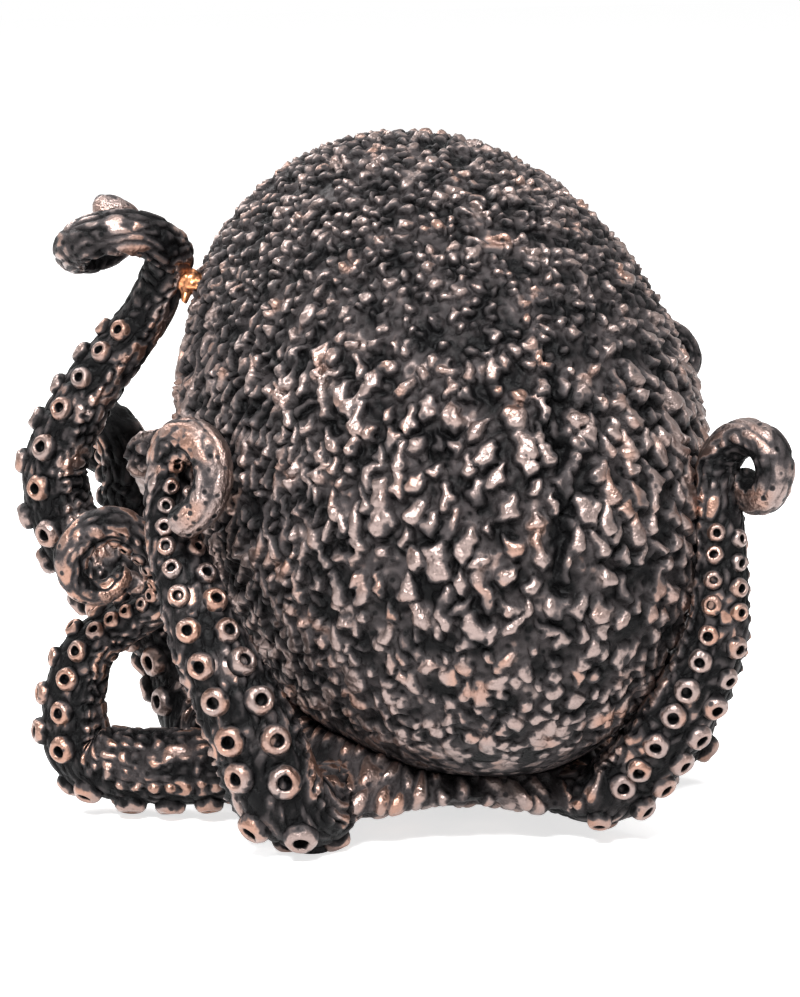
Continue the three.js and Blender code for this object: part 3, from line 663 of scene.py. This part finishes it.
# ---------------------------------------------------------------------------
# The eight arms. Each is cast on its own, pegged and glued into the web. Backs are cobbled, margins
# are frilled and rubbed bright, and two staggered rows of ring suckers run along the dark inner face.
arms = {
    "arm_rear_left": {
        "path": [
            (32, 11, -6, 7.2, 32), (33.5, 9.2, 7, 9, 36), (31.5, 14, 14.5, 9.3, 48),
            (27.5, 25, 17.5, 8.9, 62), (23, 35, 17, 8.2, 68), (17.5, 45.5, 14.5, 7.3, 72),
            (12, 54.5, 12, 6.3, 74), (7, 62, 10.8, 5.5, 82), (4.5, 70, 10, 5, 100),
            (4.4, 77.5, 9.4, 4.7, 122),
        ],
        "curl": (240, 5.4, 9, 4.2, 6),
    },
    "arm_rear_right": {
        "path": [
            (106, 10, -20, 5.6, 106), (109, 11, -8, 7.4, 95), (112.5, 16.5, -1.5, 7.6, 80),
            (113.5, 26, 6.5, 7.4, 76), (115, 36, 8.5, 7, 76), (116, 46, 7.8, 6.2, 76),
            (116.5, 55, 6, 5.4, 76), (117.5, 63, 4.8, 5, 80), (118.5, 71.2, 4, 4.8, 96),
            (119.5, 76.5, 4, 4.7, 108),
        ],
        "curl": (340, 6.8, 4.4, 3.8, -5),
        "bare_above": 66,
    },
    "arm_left_loop": {
        "path": [
            (4, 12, -4, 7.2, 4), (-6, 11.5, 13, 8.8, 6), (-14, 11, 30, 8.8, 10), (-17, 14, 38.5, 8.2, 12),
            (-18, 24, 40, 7.3, 14), (-18.5, 34, 34, 6.2, 14), (-18, 39.5, 25, 5.4, 14),
            (-15.5, 43, 18, 4.9, 10), (-12.5, 46, 12.5, 4.6, 0), (-10.5, 51, 9.5, 4.5, -10),
            (-9.5, 57, 10.5, 4.4, -10), (-9, 61, 14, 4.4, -10),
        ],
        "curl": (290, 8.6, 4, 2.6, -2),
        "copper": 0.6,
    },
    "arm_left_tall": {
        "path": [
            (-24, 11.5, 2, 6.6, -24), (-30, 14, 13, 8.6, -14), (-34.5, 21, 17, 9, -6),
            (-38, 30, 20, 9, -2), (-39.5, 38, 22, 8.9, 2), (-39.5, 46, 26, 8.6, 6),
            (-39, 56, 28.5, 8.2, 8), (-39, 66, 28, 7.8, 8), (-39.5, 75, 24.5, 7.4, 8),
            (-41, 86, 18, 6.8, 8), (-42, 95, 12, 6.2, 8), (-42, 102, 8.5, 5.7, 6, 10),
            (-40.5, 108.5, 7.8, 5.5, 8, 32), (-37.5, 114.5, 9, 5.3, 25, 52), (-33, 117, 13, 5.1, 60, 66),
        ],
        "curl": (430, 10.2, 3, 3, 11),
        "bare_above": 99,
        "pitch": 2.9,
    },
    "arm_front_left": {
        "path": [
            (-64, 11.5, -8, 7.2, -64), (-69, 9.3, 8, 9, -66), (-73, 9.6, 22, 8.8, -70),
            (-74, 13, 33, 8.5, -72), (-72, 21, 39.5, 8.1, -72), (-69.3, 31, 39, 7.7, -70),
            (-66.5, 41, 34.5, 7.3, -68), (-64, 50, 29, 6.9, -66), (-61.8, 57.5, 24.8, 6.5, -64),
            (-60.5, 63.5, 21.8, 6.2, -62),
        ],
        "curl": (285, 9.4, 5.6, 2.8, 6),
        # painted shade: this arm's rubbed metal is cut back by this much, so the whole arm reads darker, as
        # if it stood in shade
        "painted_shade": 0.22,
    },
    "arm_front_right": {
        "path": [
            (-116, 11.5, -8, 7.2, -116), (-114, 9.5, 8, 9.2, -116), (-111, 9.8, 24, 9, -110),
            (-113, 12, 38, 8.2, -100), (-117, 19, 46, 7.3, -92), (-120, 28, 45, 6.4, -88),
            (-121, 36, 40, 5.6, -86), (-120, 42, 34, 5, -84),
        ],
        "curl": (310, 7.6, 3.8, 2.4, -6),
    },
    "arm_right_loop": {
        "path": [
            (206, 12, -4, 7.2, 206), (209, 11.5, 12, 9, 205), (212, 11.5, 27, 8.8, 203),
            (215, 17, 36, 8.2, 200), (217, 28, 37, 7.5, 196), (218, 40, 34, 6.8, 192),
            (219, 51, 31, 6.2, 188), (221, 61, 29, 5.6, 184), (223, 68, 26, 5, 182),
        ],
        "curl": (320, 7, 3.6, 2.4, 6),
    },
    "arm_right_tall": {
        "path": [
            (166, 11, -5, 7.2, 166), (168, 9.1, 8, 8.8, 166), (171, 14, 17, 8.9, 168),
            (174.5, 25, 18.5, 8.6, 172), (179, 37, 15.5, 8, 176), (184, 50, 11.5, 7.2, 178),
            (189, 62, 9.5, 6.4, 178), (194, 74, 8.5, 5.6, 180), (197.5, 82, 8.5, 4.9, 182),
            (199, 87, 9, 4.4, 184),
        ],
        "curl": (320, 6.2, 3.4, 2.4, 5),
    },
}
arm_step = 0.65
arm_around = 80
curve_steps = 40
cap_rings = 7
arm_nub_length = 3.1
arm_nub_width = 2.6
arm_nub_stretch = 1.35
sucker_share = 0.37
sucker_pitch = 2.35
sucker_around = 24
sucker_off_middle = 0.47
sucker_seat = 0.62
least_sucker = 0.75
last_curled = 0.45
sucker_profile = np.array([
    (0.0, -0.05), (0.26, -0.02), (0.36, 0.1), (0.38, 0.5), (0.44, 0.66), (0.58, 0.74), (0.76, 0.66),
    (0.92, 0.44), (1.0, 0.15), (0.98, -0.2), (0.9, -0.6),
])
sucker_relief = np.array([0.0, 0.0, 0.0, 0.15, 0.8, 0.95, 0.95, 0.7, 0.45, 0.2, 0.0])
web_reach = 46.0


def mantle_reach(azimuth, height):
    level = min(max(height, mantle_centre[2] - 45), mantle_centre[2] + 47) - mantle_centre[2]
    c, s = math.cos(mantle_tilt), math.sin(mantle_tilt)
    run = np.array([math.cos(azimuth), c * math.sin(azimuth), s * math.sin(azimuth)]) / mantle_half
    start = np.array([0, -s * level, c * level]) / mantle_half
    a, b, d = run @ run, run @ start, start @ start - 1
    return (-b + math.sqrt(b * b - a * d)) / a


def arm_line(path, curl):
    """Evenly spaced points along an arm: place, half width, heading, sucker normal, how far curled."""
    rows = []
    for row in path:
        azimuth = math.radians(row[0])
        span = mantle_reach(azimuth, row[1]) + row[2]
        bank = row[5] if len(row) > 5 else 0
        rows.append((span * math.cos(azimuth), span * math.sin(azimuth), row[1], row[3], row[4], bank))
    rows = np.array(rows, float)
    ends = np.vstack([2 * rows[0] - rows[1], rows, 2 * rows[-1] - rows[-2]])
    pieces = []
    for i in range(len(rows) - 1):
        p0, p1, p2, p3 = ends[i:i + 4]
        u = np.linspace(0, 1, curve_steps, endpoint=False)[:, None]
        pieces.append(0.5 * (
            2 * p1 + (p2 - p0) * u + (2 * p0 - 5 * p1 + 4 * p2 - p3) * u**2
            + (3 * p1 - p0 - 3 * p2 + p3) * u**3
        ))
    dense = np.vstack([*pieces, rows[-1:]])
    gone = np.r_[0, np.cumsum(np.linalg.norm(np.diff(dense[:, :3], axis=0), axis=1))]
    stops = np.linspace(0, gone[-1], int(gone[-1] / arm_step) + 1)
    line = np.stack([np.interp(stops, gone, dense[:, k]) for k in range(6)], 1)
    place, half = line[:, :3], line[:, 3]
    facing, bank = np.radians(line[:, 4]), np.radians(line[:, 5])
    heading = unit(np.gradient(place, axis=0))
    across = np.stack([np.sin(facing) * np.cos(bank), -np.cos(facing) * np.cos(bank), np.sin(bank)], 1)
    normal = unit(np.cross(heading, across))
    turn, wide, tight, tip, drift = curl
    turn = math.radians(turn)
    side = np.cross(normal[-1], heading[-1])
    at, angle = place[-1].copy(), 0.0
    more = []
    while angle < turn - 1e-6:
        radius = wide + (tight - wide) * angle / turn
        step = min(arm_step / radius, turn - angle)
        mid = angle + step / 2
        ahead = math.cos(mid) * heading[-1] + math.sin(mid) * normal[-1]
        at = at + ahead * radius * step + side * drift * step / turn
        angle += step
        more.append((*at, half[-1] + (tip - half[-1]) * angle / turn, angle))
    more = np.array(more)
    c, s = np.cos(more[:, 4:]), np.sin(more[:, 4:])
    curled = np.r_[np.zeros(len(place)), more[:, 4] / turn]
    return (
        np.vstack([place, more[:, :3]]),
        np.r_[half, more[:, 3]],
        np.vstack([heading, c * heading[-1] + s * normal[-1]]),
        np.vstack([normal, c * normal[-1] - s * heading[-1]]),
        curled,
    )


def arm_skin(place, half, heading, normal, curled, painted_shade, seed):
    """The arm's body: rings of points, rounded off at the tip, and their skin values."""
    cap = np.linspace(0.15, 1, cap_rings)
    tip_place = place[-1] + heading[-1] * np.outer(cap, [half[-1]] * 3) * 0.9
    tip_half = half[-1] * np.sqrt(np.clip(1 - cap**2, 0.0004, 1))
    place = np.vstack([place, tip_place])
    half = np.r_[half, tip_half]
    heading = np.vstack([heading, np.repeat(heading[-1:], cap_rings, 0)])
    normal = np.vstack([normal, np.repeat(normal[-1:], cap_rings, 0)])
    curled = np.r_[curled, np.ones(cap_rings)]
    across = np.cross(normal, heading)
    angle = np.linspace(0, 2 * math.pi, arm_around, endpoint=False)
    c, s = np.cos(angle), np.sin(angle)
    high = np.where(s > 0, 0.74, 0.94) * s
    out = across[:, None] * c[None, :, None] + normal[:, None] * high[None, :, None]
    points = (place[:, None] + out * half[:, None, None]).reshape(-1, 3)
    out = unit(out).reshape(-1, 3)
    size = np.repeat(half, arm_around)
    rolled = np.repeat(curled, arm_around)
    inner = np.tile(s, len(place))
    along = np.repeat(arm_step * np.arange(len(place)), arm_around)
    draw = np.random.default_rng(seed)
    seeds = []
    for at in np.arange(0, along[-1], arm_nub_length):
        wide = half[min(int(at / arm_step), len(half) - 1)]
        count = max(int(round(2 * math.pi * wide / arm_nub_width)), 5)
        turn = 2 * math.pi * (np.arange(count) + draw.uniform(size=count) * 0.7) / count
        shift = draw.uniform(-0.4, 0.4, size=count) * arm_nub_length
        level = (at + shift) / arm_nub_stretch
        seeds.append(np.stack([level, wide * np.cos(turn), wide * np.sin(turn)], 1))
    local = np.stack([along / arm_nub_stretch, size * np.tile(c, len(place)), size * inner], 1)
    local += shaken(local, (seed, seed + 1, seed + 2), 4, 20) * 0.3
    inside = nubbed(local, np.concatenate(seeds), 0.3, seed)
    swell = SkinPattern(seed + 4, 8).at(local)
    back = 1 - smooth(inner, 0.05, 0.45)
    scallop = 0.5 + 0.5 * np.sin(along * 2.1 + 1.3 * swell)
    frill = np.exp(-(((inner - 0.2) / 0.17) ** 2)) * (1 - 0.7 * rolled)
    band = rolled * back
    depth = size * (0.02 + 0.12 * back * (1 - 0.4 * rolled) + 0.05 * (1 - back) * (1 - rolled))
    proud = depth * (nub_height(inside) - 0.66) + size * 0.14 * frill * (scallop - 0.3)
    rub = 0.38 * back + 0.36 * frill * (1.6 * scallop - 0.4) + 0.2 * (1 - back) + 0.1 * band + 0.12 * swell
    depth_in = inside * 1.5 * (1 - 0.7 * band) + 1.9 * band
    # the rub is lowered by the arm's painted shade, which darkens the arm as shade would
    skin = np.column_stack([depth_in, 0.25 + 0.7 * band, rub - painted_shade])
    return points + out * proud[:, None], ring_faces(len(place), arm_around), skin


def arm_suckers(place, half, heading, normal, curled, bare_above, pitch, draw):
    """Two staggered rows of ring suckers that grow smaller towards the tip, each a little askew."""
    across = np.cross(normal, heading)
    gone = np.r_[0, np.cumsum(np.linalg.norm(np.diff(place, axis=0), axis=1))]
    spots = []
    for side in (-1, 1):
        here = 0.0 if side > 0 else 3.6
        while here < gone[-1]:
            i = min(int(np.searchsorted(gone, here)), len(place) - 1)
            radius = half[i] * sucker_share
            clear = math.hypot(place[i, 0], place[i, 1]) > web_reach - 1
            if clear and radius > least_sucker and curled[i] < last_curled and place[i, 2] < bare_above:
                spots.append((i, side, radius * draw.uniform(0.93, 1.06)))
            here += max(radius * pitch * (1 + 0.25 * (curled[i] > 0)), 1.0)
    ring = np.linspace(0, 2 * math.pi, sucker_around, endpoint=False)
    points, faces, relief = [], [], []
    for number, (i, side, radius) in enumerate(spots):
        axis = unit(normal[i] * 0.93 + across[i] * 0.36 * side + draw.normal(size=3) * 0.06)
        one = unit(np.cross(axis, heading[i]))
        two = np.cross(axis, one)
        foot_point = place[i] + half[i] * (across[i] * sucker_off_middle * side + normal[i] * sucker_seat)
        for (r, h), shine in zip(sucker_profile, sucker_relief):
            spun = (np.cos(ring)[:, None] * one + np.sin(ring)[:, None] * two) * max(r, 0.004) * radius
            points.append(foot_point + spun + axis * h * radius)
            relief.append(np.full(sucker_around, shine))
        rings = len(sucker_profile)
        faces.append(ring_faces(rings, sucker_around, number * rings * sucker_around)[:, [0, 3, 2, 1]])
    points, relief = np.concatenate(points), np.concatenate(relief)
    worn = SkinPattern(71, 2.6).at(points)
    points += shaken(points, (72, 73, 74), 3, 20) * 0.05
    return points, np.concatenate(faces), relief + 0.12 * worn


plain_arm_copper = 0.45
arm_materials = {
    copper: rubbed_material(f"rubbed_arm_{round(copper * 100)}_copper", 0.55, 0.73, copper, 0.0003)
    for copper in (plain_arm_copper, 0.6)
}
for number, (name, arm) in enumerate(arms.items()):
    line = arm_line(arm["path"], arm["curl"])
    skin_points, skin_faces, skin_values = arm_skin(*line, arm.get("painted_shade", 0), 100 + 10 * number)
    bare_above, pitch = arm.get("bare_above", 200), arm.get("pitch", sucker_pitch)
    draw = np.random.default_rng(500 + number)
    cup_points, cup_faces, cup_relief = arm_suckers(*line, bare_above, pitch, draw)
    piece = stand_in_frame(
        f"{name}_cast",
        np.vstack([skin_points, cup_points]),
        np.vstack([skin_faces, cup_faces + len(skin_points)]),
        arm_materials[arm.get("copper", plain_arm_copper)],
        np.vstack([skin_values, plain_skin(cup_relief) + (0, 0.4, 0)]),
    )
    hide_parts(name)
    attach(piece, "root")

# ---------------------------------------------------------------------------
# Web. One casting under the mantle: it cradles the mantle's foot, takes the arm pegs round its rim and
# is gouged all round like bark. Its lower edge arches up between the arms.
hub_height = 5.5
hub_flat_radius = 22.0
web_dip = 5.0
web_lift = 2.4
web_arch = 2.4
web_rim_height = 12.5
web_around = 440
web_nub_width = 3.0
web_nub_rise = 1.4
web_pattern_radius = 40
web_pattern_stretch = 1.8
web_seeds = 4000
web_seat_gap = 0.3


def web_casting():
    turn = np.linspace(0, 2 * math.pi, web_around, endpoint=False)
    roots = np.radians([arm["path"][1][0] for arm in arms.values()])
    off = np.degrees(np.abs((turn[:, None] - roots + math.pi) % (2 * math.pi) - math.pi)).min(axis=1)
    open_share = smooth(off, 9, 30)
    front = smooth(-np.sin(turn), -0.2, 0.9)
    rim = web_reach - web_dip * open_share
    low_edge = hub_height + web_lift + web_arch * open_share
    flat = np.full(web_around, 1.0)
    corners = [
        (0.3 * flat, hub_height * flat), (hub_flat_radius * flat, hub_height * flat),
        (rim - 1.5, low_edge - 0.2), (rim + 0.2, low_edge + 1.2),
        (rim, web_rim_height + open_share + 3 * front - 1),
        (rim - 1.6, web_rim_height + open_share + 3 * front + 0.8),
        (rim - 8, web_rim_height + 6 + 10 * front), (14 * flat, 34 + 8 * front), (0.3 * flat, 38 * flat),
    ]
    steps = (14, 22, 3, 7, 3, 12, 24, 10)
    rows = []
    for (r0, z0), (r1, z1), count in zip(corners, corners[1:], steps):
        for share in np.linspace(0, 1, count, endpoint=False):
            rows.append(np.stack([r0 + (r1 - r0) * share, z0 + (z1 - z0) * share], 1))
    rows.append(np.stack(corners[-1], 1))
    rows = np.array(rows)
    for _ in range(3):
        rows[1:-1] = 0.5 * rows[1:-1] + 0.25 * (rows[:-2] + rows[2:])
    gone = np.cumsum(np.linalg.norm(np.diff(rows, axis=0, prepend=rows[:1]), axis=2), axis=0)
    across = np.gradient(rows, axis=0)
    normal = unit(np.stack([across[..., 1], -across[..., 0]], 2))
    c, s = np.cos(turn), np.sin(turn)
    px, py = web_pattern_radius * c, web_pattern_radius * s
    sway = SkinPattern(41, 20).at(np.stack([px, py, 0 * c], 1))
    place = np.stack([
        np.broadcast_to(px, gone.shape), np.broadcast_to(py, gone.shape), gone / web_pattern_stretch + sway
    ], 2).reshape(-1, 3)
    draw = np.random.default_rng(44)
    angle = draw.uniform(0, 2 * math.pi, web_seeds)
    level = draw.uniform(0, gone.max() / web_pattern_stretch, web_seeds)
    seeds = np.stack([web_pattern_radius * np.cos(angle), web_pattern_radius * np.sin(angle), level], 1)
    seeds = seeds[thinned(seeds, np.full(len(seeds), web_nub_width), draw)]
    widths = web_nub_width * draw.uniform(0.45, 0.65, len(seeds))
    lengths = widths * draw.uniform(0.4, 2.6, len(seeds))
    out = unit(seeds * (1, 1, 0))
    inside, web_foot = dripped(place, seeds, out, widths, lengths, np.full(len(seeds), 0.4), 45)
    outside = smooth(rows[..., 0], 24, 32).reshape(-1)
    proud = outside * web_nub_rise * (nub_height(inside) * (0.8 + 0.3 * web_foot) - 0.6)
    proud = proud.reshape(gone.shape)
    rows = rows + normal * proud[..., None]
    points = np.stack([rows[..., 0] * c, rows[..., 0] * s, rows[..., 1]], 2).reshape(-1, 3)
    # the cradle: whatever would reach into the mantle sinks to the seat's gap below it
    for _ in range(40):
        seat = points[:, 2] > mantle_foot_height - web_seat_gap
        points[:, 2] -= 0.6 * (np.maximum(web_seat_gap - plain_mantle(points), 0) * seat)
    rub = 0.56 + 0.08 * SkinPattern(43, 9).at(place)
    skin = np.stack([inside * 1.8, np.full(len(inside), 0.3), rub], 1)
    return points, ring_faces(len(rows), web_around), skin


web_material = rubbed_material("rubbed_copper_web", 0.6, 0.8, 0.45, 0.0004)
web_points, web_faces, web_skin = web_casting()
web = stand_in_frame("web_cast", web_points, web_faces, web_material, web_skin)
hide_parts("web_base")
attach(web, "root")

# ---------------------------------------------------------------------------
# Splash of copper-coloured adhesive that holds the tall arm's tip to the mantle, with a run below it.
bead_middle = (np.array(sum(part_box("arm_tip_bond_bead"), Vector()) / 2) - np.array(axis_foot)) * 1000
splash_directions, splash_triangles = geodesic_sphere(22)


def splash_form(points):
    at = bead_middle
    body = ball(points, at, (2.8, 3.0, 2.2))
    body = melt(body, ball(points, at + (1.2, -1.6, 1.4), (1.6, 1.5, 1.2)), 1.2)
    body = melt(body, rod(points, at, at + (1.6, 1.6, -4.2), 1.5, 0.7), 1.6)
    body = melt(body, rod(points, at, at + (-0.2, 4.2, -1.0), 1.3, 0.6), 1.4)
    return melt(body, rod(points, at, at + (2.6, -3.4, 1.8), 1.2, 0.5), 1.2)


def mottled_material(name, noise, ramp, roughness, bump):
    """One cloudy noise that shifts the colour, the roughness and the surface together."""
    material, nodes, links, shader = new_material(name)
    place = nodes.new("ShaderNodeTexCoord")
    cloud = nodes.new("ShaderNodeTexNoise")
    for entry, value in zip(("Scale", "Detail", "Roughness"), noise):
        cloud.inputs[entry].default_value = value
    links.new(place.outputs["Object"], cloud.inputs["Vector"])
    tone = nodes.new("ShaderNodeValToRGB")
    for element, (position, colour) in zip(tone.color_ramp.elements, ramp):
        element.position, element.color = position, colour
    links.new(cloud.outputs["Fac"], tone.inputs["Fac"])
    links.new(tone.outputs["Color"], shader.inputs["Base Color"])
    level = nodes.new("ShaderNodeMapRange")
    links.new(cloud.outputs["Fac"], level.inputs["Value"])
    level.inputs["To Min"].default_value, level.inputs["To Max"].default_value = roughness
    links.new(level.outputs["Result"], shader.inputs["Roughness"])
    add_bump(nodes, links, shader, cloud.outputs["Fac"], bump)
    return material, shader


splash_reach = reached(splash_form, bead_middle, splash_directions, 12.0, 0.7, 40)
splash_points = bead_middle + splash_directions * splash_reach[:, None]
splash_points += splash_directions * (SkinPattern(61, 2.2).at(splash_points) * 0.16)[:, None]
splash_tones = ((0.35, (0.07, 0.026, 0.014, 1)), (0.58, (0.6, 0.25, 0.11, 1)))
splash_material, shader = mottled_material("copper_bond", (700, 3, 0.5), splash_tones, (0.45, 0.2), 0.0003)
shader.inputs["Metallic"].default_value = 0.85
splash_skin = plain_skin(np.ones(len(splash_points)))
splash = stand_in_frame("copper_bond_splash", splash_points, splash_triangles, splash_material, splash_skin)
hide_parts("arm_tip_bond_bead")
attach(splash, "root")

# ---------------------------------------------------------------------------
# Felt pads under four arms and the rubber stopper of the pour hole. Both keep their solids' shapes and
# get their own finish: pressed fibres with flecks, and moulded rubber with a matt bloom.
def soft_material(name, dark, light, scale, rough, bump):
    material, shader = mottled_material(
        name, (scale, 4, 0.7), ((0.35, dark), (0.7, light)), (rough, rough - 0.15), bump
    )
    shader.inputs["Specular IOR Level"].default_value = 0.25
    return material


felt_dark, felt_light = (0.008, 0.008, 0.009, 1), (0.035, 0.034, 0.036, 1)
rubber_dark, rubber_light = (0.02, 0.018, 0.018, 1), (0.05, 0.046, 0.044, 1)
felt = soft_material("pressed_felt", felt_dark, felt_light, 1800, 0.98, 0.0003)
rubber = soft_material("moulded_rubber", rubber_dark, rubber_light, 600, 0.75, 0.00006)
pad_places = ("rear_left", "rear_right", "front_right", "front_left")
for name, material in [(f"felt_pad_{place}", felt) for place in pad_places] + [("pour_hole_plug", rubber)]:
    for part_slot in bpy.data.objects[name].material_slots:
        part_slot.material = material

# ---------------------------------------------------------------------------
# Floor and light. A wide flat white floor in an evenly lit white room, with one stronger soft lamp from
# the camera's side and weaker ones from above and from the face's side. The lift below only makes the
# floor look white to the camera and in the metal, and adds no light to the figurine.
floor_size = 3.0
floor_lift = 0.7
room_light = 0.3
room_shown = 1.0
lamp_aim_height = 0.07
floor_mesh = bpy.data.meshes.new("floor")
floor_corners = [(x * floor_size, y * floor_size, 0) for x, y in ((-1, -1), (1, -1), (1, 1), (-1, 1))]
floor_mesh.from_pydata(floor_corners, [], [(0, 1, 2, 3)])
floor = bpy.data.objects.new("floor", floor_mesh)
bpy.context.scene.collection.objects.link(floor)


def shown_to(nodes, links, *rays):
    """1 for rays of these kinds, 0 for all others."""
    path = nodes.new("ShaderNodeLightPath")
    shown = path.outputs[rays[0]]
    for ray in rays[1:]:
        either = nodes.new("ShaderNodeMath")
        either.operation = "MAXIMUM"
        links.new(shown, either.inputs[0])
        links.new(path.outputs[ray], either.inputs[1])
        shown = either.outputs[0]
    return shown


floor_material, nodes, links, shader = new_material("floor_white")
shader.inputs["Base Color"].default_value = (0.92, 0.92, 0.92, 1)
shader.inputs["Roughness"].default_value = 0.9
shader.inputs["Specular IOR Level"].default_value = 0
shader.inputs["Emission Color"].default_value = (1, 1, 1, 1)
lift = nodes.new("ShaderNodeMath")
lift.operation = "MULTIPLY"
links.new(shown_to(nodes, links, "Is Camera Ray", "Is Glossy Ray"), lift.inputs[0])
lift.inputs[1].default_value = floor_lift
links.new(lift.outputs[0], shader.inputs["Emission Strength"])
floor_mesh.materials.append(floor_material)

world = bpy.data.worlds.new("white_room")
bpy.context.scene.world = world
world.use_nodes = True
nodes, links = world.node_tree.nodes, world.node_tree.links
room = nodes["Background"]
room.inputs["Color"].default_value = (1, 1, 1, 1)
level = nodes.new("ShaderNodeMapRange")
shown = shown_to(nodes, links, "Is Camera Ray", "Is Transmission Ray", "Is Glossy Ray")
links.new(shown, level.inputs["Value"])
level.inputs["To Min"].default_value = room_light
level.inputs["To Max"].default_value = room_shown
links.new(level.outputs["Result"], room.inputs["Strength"])


def soft_lamp(name, azimuth, elevation, distance, size, power):
    data = bpy.data.lights.new(name, "AREA")
    data.shape = "RECTANGLE"
    data.size, data.size_y = size, size * 0.7
    data.energy = power
    aim(name, data, axis_foot + Vector((0, 0, lamp_aim_height)), azimuth, elevation, distance)


soft_lamp("lamp_camera_side", 142, 44, 0.9, 0.3, 17)
soft_lamp("lamp_above", 190, 65, 0.9, 0.6, 6)
soft_lamp("lamp_face_side", 20, 40, 1.0, 0.5, 8)

bpy.context.scene.view_settings.view_transform = "Standard"
